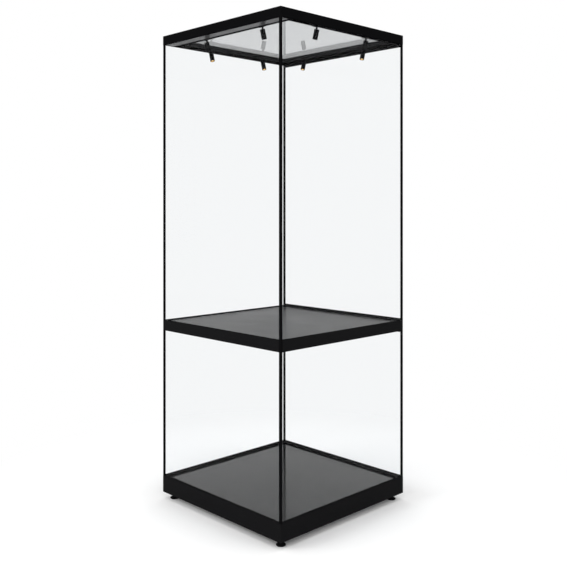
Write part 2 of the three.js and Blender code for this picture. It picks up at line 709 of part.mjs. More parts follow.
// ---- Doors and locks at the back ----
const railBack = HALF - RAIL_OUT;
const railFront = HALF - RAIL_IN;
const pivotY = HALF - PIVOT_DEPTH;
for (const { name, sill, head, lock } of STORIES) {
  const foot = sill + DOOR_GAP;
  const top = head - DOOR_GAP;
  const glassFoot = foot + PLATE;
  const glassTop = top - PLATE;
  const grooveFront = HALF - GROOVE_IN;
  const grooveBack = HALF - SKIN;
  const past = DOOR_HALF + OVERSHOOT;
  const flangeFront = HALF - DOOR_FLANGE_REACH;

  const bottomRail = shaped(
    [
      block(-DOOR_HALF, DOOR_HALF, railFront, railBack, foot, foot + RAIL_HEIGHT),
      block(-DOOR_HALF, DOOR_HALF, flangeFront, railFront + LIP / 2, foot, glassFoot),
      rod(PIN_RADIUS, sill - PIN_LENGTH + OVERSHOOT, glassFoot, ROUND, PIVOT_X, pivotY),
      rod(COLLAR_RADIUS, sill + FIT, glassFoot, ROUND, PIVOT_X, pivotY),
    ],
    [
      block(-past, past, grooveFront, grooveBack, glassFoot, foot + RAIL_HEIGHT + OVERSHOOT),
      camSlot(foot - OVERSHOOT, glassFoot + OVERSHOOT),
    ],
  );
  add(`${name}_door_bottom_rail`, bottomRail, "satinBlack");

  const topRail = shaped(
    [
      block(-DOOR_HALF, DOOR_HALF, railFront, railBack, top - RAIL_HEIGHT, top),
      rod(PIN_RADIUS, glassTop, head + PIN_LENGTH - OVERSHOOT, ROUND, PIVOT_X, pivotY),
    ],
    [block(-past, past, grooveFront, grooveBack, top - RAIL_HEIGHT - OVERSHOOT, glassTop)],
  );
  add(`${name}_door_top_rail`, topRail, "satinBlack");

  const doorGlass = block(-DOOR_HALF, DOOR_HALF, paneIn, paneOut, glassFoot, glassTop);
  add(`${name}_door_glass`, doorGlass, "glass");

  const barrel = shaped(
    [
      rearRod(LOCK_HEAD_RADIUS, LOCK_RECESS, LOCK_HEAD, LOCK_X, lock),
      rearRod(LOCK_RADIUS, LOCK_HEAD / 2, LOCK_LENGTH, LOCK_X, lock),
    ],
    [rearRod(PLUG_RADIUS + FIT, -OVERSHOOT, LOCK_LENGTH + OVERSHOOT, LOCK_X, lock)],
  );
  add(`${name}_lock_barrel`, barrel, "chrome");

  // The cam lies level when the door is free, and a quarter turn raises it through the door flange.
  const camBack = CAM_DEPTH + CAM_THICKNESS;
  const plug = shaped(
    [
      rearRod(PLUG_RADIUS, PLUG_RECESS, CAM_DEPTH + CAM_THICKNESS / 2, LOCK_X, lock),
      block(
        LOCK_X - CAM_LENGTH,
        LOCK_X,
        HALF - CAM_DEPTH,
        HALF - camBack,
        lock - CAM_HALF,
        lock + CAM_HALF,
      ),
      rearRod(CAM_HALF + LIP, CAM_DEPTH, camBack, LOCK_X, lock),
      rearRod(CAM_SCREW_RADIUS, camBack - LIP, camBack + CAM_SCREW_HEAD, LOCK_X, lock, HEX),
    ],
    [
      block(
        LOCK_X - KEYWAY_WIDTH / 2,
        LOCK_X + KEYWAY_WIDTH / 2,
        HALF,
        HALF - PLUG_RECESS - KEYWAY_DEPTH,
        lock - KEYWAY_HEIGHT / 2,
        lock + KEYWAY_HEIGHT / 2,
      ),
    ],
  );
  add(`${name}_lock_plug`, plug, "zincSteel");
}

// ---- Levelling feet ----
const coneTop = FOOT_PAD_HEIGHT + FOOT_CONE_HEIGHT;
const footProfile = [
  [0, 0],
  [FOOT_PAD_RADIUS - EDGE, 0],
  [FOOT_PAD_RADIUS, EDGE],
  [FOOT_PAD_RADIUS, FOOT_PAD_HEIGHT],
  [FOOT_NECK_RADIUS, coneTop],
  [0, coneTop],
];
for (const { name, x, y } of CORNERS) {
  const foot = shaped([
    turned(footProfile),
    rod(FOOT_HEX_RADIUS, coneTop - OVERSHOOT, coneTop + FOOT_HEX_HEIGHT, HEX),
    rod(FOOT_STEM_RADIUS, coneTop, FOOT_STEM_TOP),
  ]);
  add(`foot_${name}`, foot, "zincSteel").position.set(x * footAt, y * footAt, 0);
}

// ---- LED driver under a cross rail, and the gland for its cord ----
const driverTop = railFoot;
const driverHalf = DRIVER_LENGTH / 2;
const driverSide = DRIVER_WIDTH / 2;
const tabHalf = driverHalf + DRIVER_TAB;
const driver = shaped([
  block(-driverHalf, driverHalf, -driverSide, driverSide, driverTop - DRIVER_HEIGHT, driverTop),
  block(-tabHalf, tabHalf, -driverSide / 2, driverSide / 2, driverTop - PLATE, driverTop),
]);
add("led_driver", driver, "plasticWhite").position.y = CROSS_RAIL_Y;

const flangeTop = BASE_UNDERSIDE + PLATE;
const gland = shaped(
  [
    rod(GLAND_HEX_RADIUS, BASE_UNDERSIDE - GLAND_HEX_HEIGHT, BASE_UNDERSIDE, HEX),
    rod(GLAND_BODY_RADIUS, BASE_UNDERSIDE - OVERSHOOT, flangeTop + OVERSHOOT),
    rod(GLAND_HEX_RADIUS, flangeTop, flangeTop + GLAND_NUT_HEIGHT, HEX),
  ],
  [
    rod(
      GLAND_BORE_RADIUS,
      BASE_UNDERSIDE - GLAND_HEX_HEIGHT - OVERSHOOT,
      flangeTop + GLAND_NUT_HEIGHT + OVERSHOOT,
    ),
  ],
);
add("cable_gland", gland, "plasticBlack").position.set(glandX, glandY, 0);

// ---- Spotlights ----
// In a spot's own frame X runs along the track, Y points into the case and Z is up.
const adapterTop = -FIT;
const adapterFoot = adapterTop - ADAPTER_HEIGHT;
const tongueHalf = TRACK_SLOT / 2 - TONGUE_PLAY;
const teeHalf = TRACK_SLOT / 2 + TEE_OVERLAP;
const teeFoot = TRACK_LIP + FIT;
const knuckleTop = adapterFoot - FIT;
const knuckleFoot = knuckleTop - KNUCKLE_HEIGHT;
const pivotZ = knuckleFoot - KNUCKLE_PIVOT_DROP;

function adapterGeometry() {
  const long = TONGUE_HALF_LENGTH;
  return shaped(
    [
      block(-ADAPTER_BEHIND, ADAPTER_AHEAD, -ADAPTER_HALF, ADAPTER_HALF, adapterFoot, adapterTop),
      block(-long, long, -tongueHalf, tongueHalf, adapterTop - OVERSHOOT, teeFoot + OVERSHOOT),
      block(-long, long, -teeHalf, teeHalf, teeFoot, teeFoot + TEE_HEIGHT),
      rod(KNOB_RADIUS, adapterFoot - KNOB_LENGTH, adapterTop, SMALL_ROUND, -KNOB_OFFSET),
    ],
    [rod(SPIGOT_RADIUS + FIT, adapterFoot - OVERSHOOT, knuckleTop + SPIGOT_LENGTH + FIT)],
  );
}

// Heights from the pivot, which is the origin of knuckle and head.
function knuckleGeometry() {
  const foot = KNUCKLE_PIVOT_DROP;
  const top = foot + KNUCKLE_HEIGHT;
  const blade = BLADE_THICKNESS / 2;
  return shaped([
    crossRod(BLADE_HALF, blade, SPOT_ROUND),
    block(-blade, blade, -BLADE_HALF, BLADE_HALF, 0, foot + OVERSHOOT),
    crossRod(TILT_PIN_RADIUS, HEAD_RADIUS - HEAD_EDGE),
    rod(KNUCKLE_RADIUS, foot, top, SPOT_ROUND),
    rod(SPIGOT_RADIUS, foot, top + SPIGOT_LENGTH, SMALL_ROUND),
  ]);
}

function headGeometry() {
  const rear = HEAD_PIVOT_SET;
  const front = rear - HEAD_LENGTH;
  const profile = [
    [0, front + LENS_RECESS],
    [LENS_RADIUS, front + LENS_RECESS],
    [LENS_RADIUS, front],
    [HEAD_RADIUS - HEAD_EDGE, front],
    [HEAD_RADIUS, front + HEAD_EDGE],
  ];
  for (let groove = COOLING_GROOVES - 1; groove >= 0; groove--) {
    const low = rear - GROOVE_START - groove * GROOVE_PITCH - GROOVE_WIDTH;
    profile.push([HEAD_RADIUS, low]);
    profile.push([HEAD_RADIUS - GROOVE_DEPTH, low]);
    profile.push([HEAD_RADIUS - GROOVE_DEPTH, low + GROOVE_WIDTH]);
    profile.push([HEAD_RADIUS, low + GROOVE_WIDTH]);
  }
  profile.push([HEAD_RADIUS, rear - HEAD_EDGE], [HEAD_RADIUS - HEAD_EDGE, rear], [0, rear]);
  const slot = BLADE_THICKNESS / 2 + FIT;
  const past = HEAD_RADIUS + OVERSHOOT;
  return shaped(
    [turned(profile, SPOT_ROUND)],
    [
      block(-slot, slot, -past, past, rear - HEAD_SLOT_DEPTH, rear + OVERSHOOT),
      crossRod(TILT_PIN_RADIUS + FIT, past),
    ],
  );
}

const trackLine = HALF - BOARD_OUT - TRACK_MID;
const frontLine = CEILING_FRONT + TRACK_MID;
const SPOTS = [
  { name: "front_right", side: FRONT, x: FRONT_RIGHT_X, y: frontLine },
  { name: "front_left", side: FRONT, x: FRONT_LEFT_X, y: frontLine },
  { name: "right_front", side: RIGHT, x: trackLine, y: RIGHT_FRONT_Y },
  { name: "right_back", side: RIGHT, x: trackLine, y: RIGHT_BACK_Y },
  { name: "back_right", side: BACK, x: BACK_RIGHT_X, y: trackLine },
  { name: "back_left", side: BACK, x: BACK_LEFT_X, y: trackLine },
  { name: "left_back", side: LEFT, x: -trackLine, y: LEFT_BACK_Y },
  { name: "left_front", side: LEFT, x: -trackLine, y: LEFT_FRONT_Y },
];
for (const { name, side, x, y } of SPOTS) {
  const spot = new THREE.Group();
  spot.position.set(x, y, TRACK_FOOT);
  spot.rotation.z = (side * Math.PI) / 2;
  displayCase.add(spot);
  add(`spot_${name}_adapter`, adapterGeometry(), "lampBlack", spot);
  add(`spot_${name}_knuckle`, knuckleGeometry(), "lampBlack", spot).position.z = pivotZ;
  const head = add(`spot_${name}_head`, headGeometry(), "lampBlack", spot);
  head.position.z = pivotZ;
  head.rotation.x = THREE.MathUtils.degToRad(SPOT_TILT);
}

export default displayCase;
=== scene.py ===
"""Finish, light and camera for a free-standing glass display case with two chambers."""

import math

import bmesh
import bpy
from mathutils import Matrix, Vector


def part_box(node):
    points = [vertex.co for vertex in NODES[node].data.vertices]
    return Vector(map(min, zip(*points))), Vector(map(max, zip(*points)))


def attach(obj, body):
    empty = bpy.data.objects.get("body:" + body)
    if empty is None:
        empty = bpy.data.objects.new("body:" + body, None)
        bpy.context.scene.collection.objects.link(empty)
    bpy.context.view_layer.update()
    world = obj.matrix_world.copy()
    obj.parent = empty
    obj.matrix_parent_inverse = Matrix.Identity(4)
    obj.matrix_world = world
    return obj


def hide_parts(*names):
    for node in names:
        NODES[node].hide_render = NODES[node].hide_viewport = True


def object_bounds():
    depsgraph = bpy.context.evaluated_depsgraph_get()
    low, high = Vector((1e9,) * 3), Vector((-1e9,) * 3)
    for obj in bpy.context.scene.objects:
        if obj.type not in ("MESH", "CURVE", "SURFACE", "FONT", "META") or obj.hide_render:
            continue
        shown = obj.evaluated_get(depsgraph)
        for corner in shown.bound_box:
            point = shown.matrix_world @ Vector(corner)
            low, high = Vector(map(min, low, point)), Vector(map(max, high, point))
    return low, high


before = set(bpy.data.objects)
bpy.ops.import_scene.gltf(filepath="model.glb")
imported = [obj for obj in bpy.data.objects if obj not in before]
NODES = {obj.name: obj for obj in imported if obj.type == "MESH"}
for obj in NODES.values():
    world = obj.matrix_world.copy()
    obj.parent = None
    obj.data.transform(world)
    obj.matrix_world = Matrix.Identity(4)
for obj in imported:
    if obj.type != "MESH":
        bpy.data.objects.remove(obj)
CAD_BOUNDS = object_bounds()

SCENE = bpy.context.scene
CORNERS = ("front_left", "front_right", "back_right", "back_left")
SPOTS = ("front_right", "front_left", "right_front", "right_back")
SPOTS += ("back_right", "back_left", "left_back", "left_front")
SIDES = ("front", "right", "back", "left")  # each spot's name begins with its side
MM = 0.001


# ---- Materials ----
NOISE_MIDDLE = (0.3, 0.7)  # most values of a noise lie in this range
CLOUD_SCALE = 6.0  # of the slow change in shade and gloss, per metre
CLEAR_SCALE = 4.0
RELIEF_DEPTH = 0.0002
FINISH_IOR = 1.45
GRAIN_DETAIL = 2.0
GLASS_GLOSS = (0.0, 0.012)
GLOW_ROUGHNESS = 0.15
GLOW_SCALE = 900.0
GLOW_SHADE = 0.9  # the darker of a lit surface's two shades, against the other


def new_material(name):
    material = bpy.data.materials.new(name)
    material.use_nodes = True
    tree = material.node_tree
    return material, tree, tree.nodes["Principled BSDF"]


def noise(tree, scale, detail=3.0):
    coordinates = tree.nodes.new("ShaderNodeTexCoord")
    texture = tree.nodes.new("ShaderNodeTexNoise")
    texture.inputs["Scale"].default_value = scale
    texture.inputs["Detail"].default_value = detail
    tree.links.new(coordinates.outputs["Object"], texture.inputs["Vector"])
    return texture.outputs["Fac"]


def spread(tree, value, low, high):
    """The value mapped from its middle range to low..high."""
    ramp = tree.nodes.new("ShaderNodeMapRange")
    ramp.inputs["From Min"].default_value = NOISE_MIDDLE[0]
    ramp.inputs["From Max"].default_value = NOISE_MIDDLE[1]
    ramp.inputs["To Min"].default_value = low
    ramp.inputs["To Max"].default_value = high
    tree.links.new(value, ramp.inputs["Value"])
    return ramp.outputs["Result"]


def mottle(tree, value, low, high):
    """A colour between two close shades, by the value."""
    mix = tree.nodes.new("ShaderNodeMix")
    mix.data_type = "RGBA"
    mix.inputs["A"].default_value = (*low, 1)
    mix.inputs["B"].default_value = (*high, 1)
    tree.links.new(value, mix.inputs["Factor"])
    return mix.outputs["Result"]


def any_of(tree, outputs):
    """1 where any of these Light Path outputs is 1."""
    path = tree.nodes.new("ShaderNodeLightPath")
    value = path.outputs[outputs[0]]
    for output in outputs[1:]:
        either = tree.nodes.new("ShaderNodeMath")
        either.operation = "MAXIMUM"
        tree.links.new(value, either.inputs[0])
        tree.links.new(path.outputs[output], either.inputs[1])
        value = either.outputs[0]
    return value


def mixed(tree, factor, first, second, output):
    """The first shader where the factor is 0 and the second where it is 1, to the output's surface."""
    mix = tree.nodes.new("ShaderNodeMixShader")
    tree.links.new(factor, mix.inputs[0])
    tree.links.new(first.outputs[0], mix.inputs[1])
    tree.links.new(second.outputs[0], mix.inputs[2])
    tree.links.new(mix.outputs[0], tree.nodes[output].inputs["Surface"])


def finish(name, low, high, rough, metallic=0.0, level=0.5, grain=400.0, bump=0.04):
    """A painted, plated or moulded surface: two close shades, uneven gloss and a fine grain."""
    material, tree, shader = new_material(name)
    shader.inputs["Specular IOR Level"].default_value = level
    shader.inputs["Metallic"].default_value = metallic
    shader.inputs["IOR"].default_value = FINISH_IOR
    cloud = noise(tree, CLOUD_SCALE)
    fine = noise(tree, grain, GRAIN_DETAIL)
    tree.links.new(mottle(tree, cloud, low, high), shader.inputs["Base Color"])
    tree.links.new(spread(tree, cloud, *rough), shader.inputs["Roughness"])
    relief = tree.nodes.new("ShaderNodeBump")
    relief.inputs["Strength"].default_value = bump
    relief.inputs["Distance"].default_value = RELIEF_DEPTH
    tree.links.new(fine, relief.inputs["Height"])
    tree.links.new(relief.outputs["Normal"], shader.inputs["Normal"])
    return material


def glass(name, tint, ior):
    """Clear glass that refracts, and lets lamp light through without a dark shadow."""
    material, tree, shader = new_material(name)
    shader.inputs["Base Color"].default_value = (*tint, 1)
    shader.inputs["Transmission Weight"].default_value = 1.0
    shader.inputs["IOR"].default_value = ior
    tree.links.new(spread(tree, noise(tree, CLEAR_SCALE), *GLASS_GLOSS), shader.inputs["Roughness"])
    clear = tree.nodes.new("ShaderNodeBsdfTransparent")
    clear.inputs["Color"].default_value = (*tint, 1)
    unseen = any_of(tree, ("Is Shadow Ray", "Is Diffuse Ray"))
    mixed(tree, unseen, shader, clear, "Material Output")
    return material


def glow(name, color, strength):
    """A lit surface: its colour shines with the strength."""
    material, tree, shader = new_material(name)
    shader.inputs["Roughness"].default_value = GLOW_ROUGHNESS
    shader.inputs["Emission Color"].default_value = (*color, 1)
    shader.inputs["Emission Strength"].default_value = strength
    darker = tuple(GLOW_SHADE * value for value in color)
    shade = mottle(tree, noise(tree, GLOW_SCALE), color, darker)
    tree.links.new(shade, shader.inputs["Base Color"])
    return material


# Name, two shades, and the range of roughness, which stays clear of 0.27: a surface with both sides
# of it in its range shows ripples in a denoised picture.
BLACK = finish(
    "frame black", (0.0062, 0.0062, 0.0066), (0.0075, 0.0075, 0.0081), (0.36, 0.44), level=0.01
)
BAND = finish(
    "band black", (0.0036, 0.0036, 0.0039), (0.0046, 0.0046, 0.005), (0.42, 0.5), level=0.0
)
FLOOR = finish(
    "floor panel", (0.003, 0.0032, 0.0036), (0.004, 0.0043, 0.0048), (0.08, 0.11), level=0.22
)
BOARD = finish(
    "deck board", (0.007, 0.007, 0.0075), (0.009, 0.009, 0.0095), (0.29, 0.34), level=0.11
)
GREY = finish(
    "soffit grey", (0.035, 0.035, 0.037), (0.045, 0.045, 0.047), (0.28, 0.36), level=0.12
)
TRACK = finish("track", (0.012, 0.012, 0.013), (0.016, 0.016, 0.017), (0.35, 0.45), level=0.03)
LAMP = finish(
    "lamp black", (0.0025, 0.0025, 0.0028), (0.0035, 0.0035, 0.004), (0.32, 0.42), level=0.03
)
CHROME = finish(
    "chrome", (0.74, 0.75, 0.76), (0.8, 0.81, 0.82), (0.08, 0.14), metallic=1.0, bump=0.01
)
STEEL = finish("zinc steel", (0.44, 0.45, 0.46), (0.52, 0.53, 0.54), (0.3, 0.42), metallic=1.0)
COPPER = finish("copper", (0.55, 0.24, 0.12), (0.62, 0.28, 0.14), (0.29, 0.36), metallic=1.0)
SCREW = finish("black screw", (0.02, 0.02, 0.02), (0.03, 0.03, 0.03), (0.3, 0.4), metallic=0.8)
RUBBER = finish("rubber", (0.012, 0.012, 0.012), (0.018, 0.018, 0.018), (0.6, 0.75), grain=250.0)
WHITE = finish("driver white", (0.7, 0.7, 0.68), (0.76, 0.76, 0.74), (0.45, 0.55))
SEAL = finish("black seal", (0.002, 0.002, 0.002), (0.003, 0.003, 0.003), (0.6, 0.75), level=0.0)
PLASTIC = finish("plastic black", (0.016, 0.016, 0.016), (0.022, 0.022, 0.022), (0.5, 0.6))
PANE = glass("pane glass", (0.955, 0.962, 0.966), 1.1)  # with a coating that reflects little
CEILING = glass("ceiling glass", (0.58, 0.587, 0.592), 1.2)
LENS = glow("lit lens", (1.0, 0.9, 0.62), 1.1)
# The reflector's glow is painted light: the lamp's light on the inside of the reflector, painted as a
# warm glow, since no lamp shines inside the head.
REFLECTOR_PAINTED_GLOW = glow("reflector painted glow", (0.62, 0.36, 0.09), 0.35)

for name, node in NODES.items():
    if name.endswith(("_pane", "door_glass")):
        material = PANE
    elif name == "ceiling_glass":
        material = CEILING
    elif name == "floor_panel":
        material = FLOOR
    elif name == "deck_board":
        material = BOARD
    elif name == "front_soffit":
        material = GREY
    elif name == "light_track":
        material = TRACK
    elif name in ("top_frame", "ceiling_frame") or name.startswith("post_"):
        material = BAND
    elif name.startswith("spot_"):
        material = LAMP
    elif name.endswith("lock_barrel"):
        material = CHROME
    elif name.endswith("lock_plug"):
        material = STEEL
    elif name == "led_driver":
        material = WHITE
    elif name == "cable_gland":
        material = PLASTIC
    else:
        material = BLACK
    node.data.materials.clear()
    node.data.materials.append(material)


# ---- Shape helpers, in metres ----


def show(name, mesh, material, body, place=None):
    item = bpy.data.objects.new(name, mesh)
    SCENE.collection.objects.link(item)
    if not mesh.materials:
        mesh.materials.append(material)
    if place is not None:
        item.matrix_world = place
    bpy.context.view_layer.update()
    if body:
        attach(item, body)
    return item


def mesh_from(name, build):
    mesh = bpy.data.meshes.new(name)
    shape = bmesh.new()
    build(shape)
    bmesh.ops.recalc_face_normals(shape, faces=shape.faces)
    shape.to_mesh(mesh)
    shape.free()
    return mesh


def turned(name, profile, steps=48, sharp=30):
    """A closed body turned about Z, from (radius, height) points that start and end on the axis."""

    def build(shape):
        rings = []
        for radius, height in profile:
            if radius == 0:
                rings.append([shape.verts.new((0, 0, height))])
                continue
            ring = []
            for step in range(steps):
                turn = 2 * math.pi * step / steps
                ring.append(shape.verts.new((radius * math.cos(turn), radius * math.sin(turn), height)))
            rings.append(ring)
        for low, high in zip(rings, rings[1:]):
            for step in range(steps):
                after = (step + 1) % steps
                corners = [low[step % len(low)], low[after % len(low)]]
                corners += [high[after % len(high)], high[step % len(high)]]
                shape.faces.new(list(dict.fromkeys(corners)))

    mesh = mesh_from(name, build)
    mesh.shade_smooth()
    mesh.set_sharp_from_angle(angle=math.radians(sharp))
    return mesh


def bar(name, low, high, edge=0.0):
    """A box, with a small bevel on all its edges when an edge width is given."""

    def build(shape):
        size = [b - a for a, b in zip(low, high)]
        middle = [(a + b) / 2 for a, b in zip(low, high)]
        bmesh.ops.create_cube(shape, size=1, matrix=Matrix.LocRotScale(middle, None, size))
        if edge:
            bmesh.ops.bevel(shape, geom=shape.edges[:], offset=edge, segments=2, affect="EDGES")

    return mesh_from(name, build)


def cut(item, cutter):
    """The mesh of item less the cutter, which is removed."""
    tool = item.modifiers.new("cut", "BOOLEAN")
    tool.object = cutter
    tool.solver = "EXACT"
    bpy.context.view_layer.update()
    seen = item.evaluated_get(bpy.context.evaluated_depsgraph_get())
    mesh = bpy.data.meshes.new_from_object(seen)
    item.modifiers.clear()
    bpy.data.objects.remove(cutter)
    return mesh


def centre(node):
    low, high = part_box(node)
    return (Vector(low) + Vector(high)) / 2


def scaled(points):
    """Points given in millimetres, in metres."""
    return [(radius * MM, height * MM) for radius, height in points]


# ---- Spotlights: heads with finer round surfaces than the solids ----
# Profiles are (radius, height) in millimetres, with the height over the tilt axis.
TILT = math.radians(16)
PIVOT_LIFT = 4 * MM  # tilt axis over the lowest point of the knuckle
HEAD_REAR = 5.5
HEAD_LENGTH = 44
HEAD_FRONT = HEAD_REAR - HEAD_LENGTH
HEAD_RADIUS = 11
BEZEL = 9  # radius of the opening at the front
DISH = 6  # depth of the opening
LENS_EDGE = 5.2  # radius of the lens
FIRST_GROOVE = 14.2  # front edge of the first cooling groove, from the rear
GROOVE_PITCH = 3
GROOVE_WIDTH = 1.2
GROOVE_DEPTH = 0.8
GROOVE_SLOPE = 0.1
SLOT_LOW = (-1.8 * MM, -13 * MM, -5 * MM)  # the slot at the rear of the head
SLOT_HIGH = (1.8 * MM, 13 * MM, 7 * MM)


def head_profile():
    """The outside of the head, with a dished opening in its front."""
    front, rear, side = HEAD_FRONT, HEAD_REAR, HEAD_RADIUS
    points = [(0, front + DISH), (LENS_EDGE, front + DISH)]
    points += [(BEZEL - 0.5, front + 1.3), (BEZEL, front + 0.9)]
    points += [(BEZEL + 0.1, front + 0.2), (BEZEL + 0.4, front)]
    points += [(side - 0.6, front), (side - 0.1, front + 0.3), (side, front + 0.8)]
    dip = side - GROOVE_DEPTH
    for groove in (1, 0):
        low = rear - FIRST_GROOVE - GROOVE_PITCH * groove
        points += [(side, low), (dip, low + GROOVE_SLOPE)]
        points += [(dip, low + GROOVE_WIDTH - GROOVE_SLOPE), (side, low + GROOVE_WIDTH)]
    points += [(side, rear - 0.9), (side - 0.25, rear - 0.25), (side - 0.9, rear), (0, rear)]
    return scaled(points)


def head_mesh():
    """The head, slotted at the rear for the blade of the knuckle."""
    body = show("head_blank", turned("head_blank", head_profile()), LAMP, None)
    slot = bar("slot", SLOT_LOW, SLOT_HIGH)
    mesh = cut(body, show("slot", slot, LAMP, None))
    bpy.data.objects.remove(body)
    mesh.name = "spot_head"
    mesh.set_sharp_from_angle(angle=math.radians(30))
    return mesh


def spot_place(name):
    """The pivot of a spotlight: X along the track, Y into the case."""
    side = SIDES.index(name.split("_")[0])
    low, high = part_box(f"spot_{name}_knuckle")
    middle = (Vector(low) + Vector(high)) / 2
    pivot = Vector((middle.x, middle.y, low[2] + PIVOT_LIFT))
    return Matrix.Translation(pivot) @ Matrix.Rotation(side * math.pi / 2, 4, "Z")


HEAD = head_mesh()
# The lens is a flat dome between the sides of the reflector, a thin cone that lines the opening.
lens_points = [(0, 3.0), (2.6, 3.3), (4.6, 4.4), (LENS_EDGE, 5.6), (LENS_EDGE, DISH), (0, DISH)]
cone_points = [(0, 5.7), (5.0, 5.7), (BEZEL - 0.9, 1.2), (BEZEL - 0.55, 1.3)]
cone_points += [(LENS_EDGE + 0.05, 5.95), (0, 5.95)]


def in_head(name, points):
    """A turned mesh, from heights behind the front of the head."""
    return turned(name, scaled([(radius, HEAD_FRONT + height) for radius, height in points]))


LENS_MESH = in_head("lens", lens_points)
CONE_MESH = in_head("reflector", cone_points)
for name in SPOTS:
    place = spot_place(name)
    tilted = place @ Matrix.Rotation(TILT, 4, "X")
    head = show(f"spot_{name}_body", HEAD, LAMP, f"spot_{name}_head", tilted)
    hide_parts(f"spot_{name}_head")
    show(f"spot_{name}_lens", LENS_MESH, LENS, f"spot_{name}_head", tilted)
    show(f"spot_{name}_reflector", CONE_MESH, REFLECTOR_PAINTED_GLOW, f"spot_{name}_head", tilted)


# ---- Levelling feet: profiles are (radius, height over the floor) in millimetres ----
THREAD_FOOT = 19
THREAD_PITCH = 1.5
THREAD_TURNS = 28

pad_points = [(0, 0.5), (17.4, 0.5), (19.6, 0.9), (20.3, 1.7), (20.5, 2.6), (20.4, 4.2), (19.7, 5.0)]
pad_points += [(17.9, 5.5), (10.6, 9.4), (9.3, 10.3), (9.0, 11.2), (0, 11.2)]
PAD_MESH = turned("foot_pad", scaled(pad_points), sharp=50)
sole_points = [(0, 0), (18.5, 0), (19, 0.3), (19, 1.2), (0, 1.2)]
SOLE_MESH = turned("foot_sole", scaled(sole_points))
hex_points = [(0, 11), (9.3, 11), (9.8, 11.5), (9.8, 18.5), (9.3, 19), (0, 19)]
HEX_MESH = turned("foot_hex", scaled(hex_points), steps=6)
nut_points = [(0, 22.6), (9.2, 22.6), (9.8, 23.1), (9.8, 29.4), (9.3, 29.9), (0, 29.9)]
NUT_MESH = turned("foot_locknut", scaled(nut_points), steps=6)
thread_points = [(0, 18.8), (4.7, 18.8)]
for turn in range(THREAD_TURNS):
    root = THREAD_FOOT + THREAD_PITCH * turn
    thread_points += [(4.4, root), (5.0, root + THREAD_PITCH / 2)]
thread_points += [(4.5, 61.3), (3.9, 62), (0, 62)]
THREAD_MESH = turned("foot_thread", scaled(thread_points), steps=32, sharp=80)
for corner in CORNERS:
    body = f"foot_{corner}"
    middle = centre(body)
    stand = Matrix.Translation((middle.x, middle.y, 0))
    pad = show(f"{body}_pad", PAD_MESH, BLACK, body, stand)
    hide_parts(body)
    show(f"{body}_sole", SOLE_MESH, RUBBER, body, stand)
    show(f"{body}_hex", HEX_MESH, BLACK, body, stand)
    show(f"{body}_thread", THREAD_MESH, STEEL, body, stand)
    show(f"{body}_locknut", NUT_MESH, BLACK, "case", stand)


# ---- Softened edges on the solids that keep their own surface ----
SLIM_EDGE = 0.35 * MM
GLASS_EDGE = 0.5 * MM
BOARD_EDGE = 0.6 * MM
SHARP_FROM = math.radians(40)


def soften(node, width, segments=2):
    edge = NODES[node].modifiers.new("edge", "BEVEL")
    edge.width = width
    edge.segments = segments
    edge.limit_method = "ANGLE"
    edge.angle_limit = SHARP_FROM


for corner in CORNERS:
    soften(f"post_{corner}", SLIM_EDGE)
for name in ("floor_panel", "deck_board"):
    soften(name, BOARD_EDGE)
for name in SPOTS:
    soften(f"spot_{name}_adapter", SLIM_EDGE)
for name in NODES:
    if name.endswith(("_pane", "_glass")):
        soften(name, GLASS_EDGE, segments=1)


# ---- Black seals: in the joint of front and side panes, and on the side panes by the back posts ----
SEAL_WIDTH = (3 * MM, 10 * MM)  # from the outer face of the case
SEAL_THICKNESS = 0.55 * MM  # by the back posts
SEAL_PLAY = 0.05 * MM
SEAL_END_GAP = 0.3 * MM
CASE_LOW, CASE_HIGH = (Vector(corner) for corner in CAD_BOUNDS)


def seal(name, corner, x_depths, y_depths, foot, top):
    """A strip between two depths from the outer faces that meet at a corner of the case."""
    out_x, in_x = (CASE_LOW.x, 1) if corner.endswith("left") else (CASE_HIGH.x, -1)
    out_y, in_y = (CASE_LOW.y, 1) if corner.startswith("front") else (CASE_HIGH.y, -1)
    xs = sorted(out_x + in_x * depth for depth in x_depths)
    ys = sorted(out_y + in_y * depth for depth in y_depths)
    strip = bar("seal", (xs[0], ys[0], foot), (xs[1], ys[1], top))
    show(name, strip, SEAL, "case")


for story, below, above in (("lower", "base_frame", "deck_frame"), ("upper", "deck_frame", "top_frame")):
    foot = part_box(below)[1][2] + SEAL_END_GAP
    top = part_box(above)[0][2] - SEAL_END_GAP
    pane_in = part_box(f"{story}_front_pane")[1][1] - CASE_LOW.y
    side_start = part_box(f"{story}_left_pane")[0][1] - CASE_LOW.y
    joint = (pane_in + SEAL_PLAY, side_start - SEAL_PLAY)
    face = (pane_in + SEAL_PLAY, pane_in + SEAL_PLAY + SEAL_THICKNESS)
    for corner in CORNERS:
        if corner.startswith("front"):
            seal(f"seal_{story}_{corner}", corner, SEAL_WIDTH, joint, foot, top)
        else:
            seal(f"seal_{story}_{corner}", corner, face, SEAL_WIDTH, foot, top)


# ---- Screws of ceiling frame and corner plates, seen from below ----
FLANGE_LINE = 11 * MM  # from the outer face of the ceiling frame
SCREWS_PER_SIDE = 5
PLATE_SCREW = 26 * MM  # from the foot, towards the middle of the case
screw_points = [(0, 0), (1.9, 0), (1.9, 0.5), (1.5, 0.9), (0.8, 0.9), (0.8, 0.4), (0, 0.4)]
SCREW_MESH = turned("screw", scaled(screw_points), steps=24)


def screw_down(name, x, y, z, material=SCREW):
    place = Matrix.Translation((x, y, z)) @ Matrix.Rotation(math.pi, 4, "X")
    show(name, SCREW_MESH, material, "case", place)


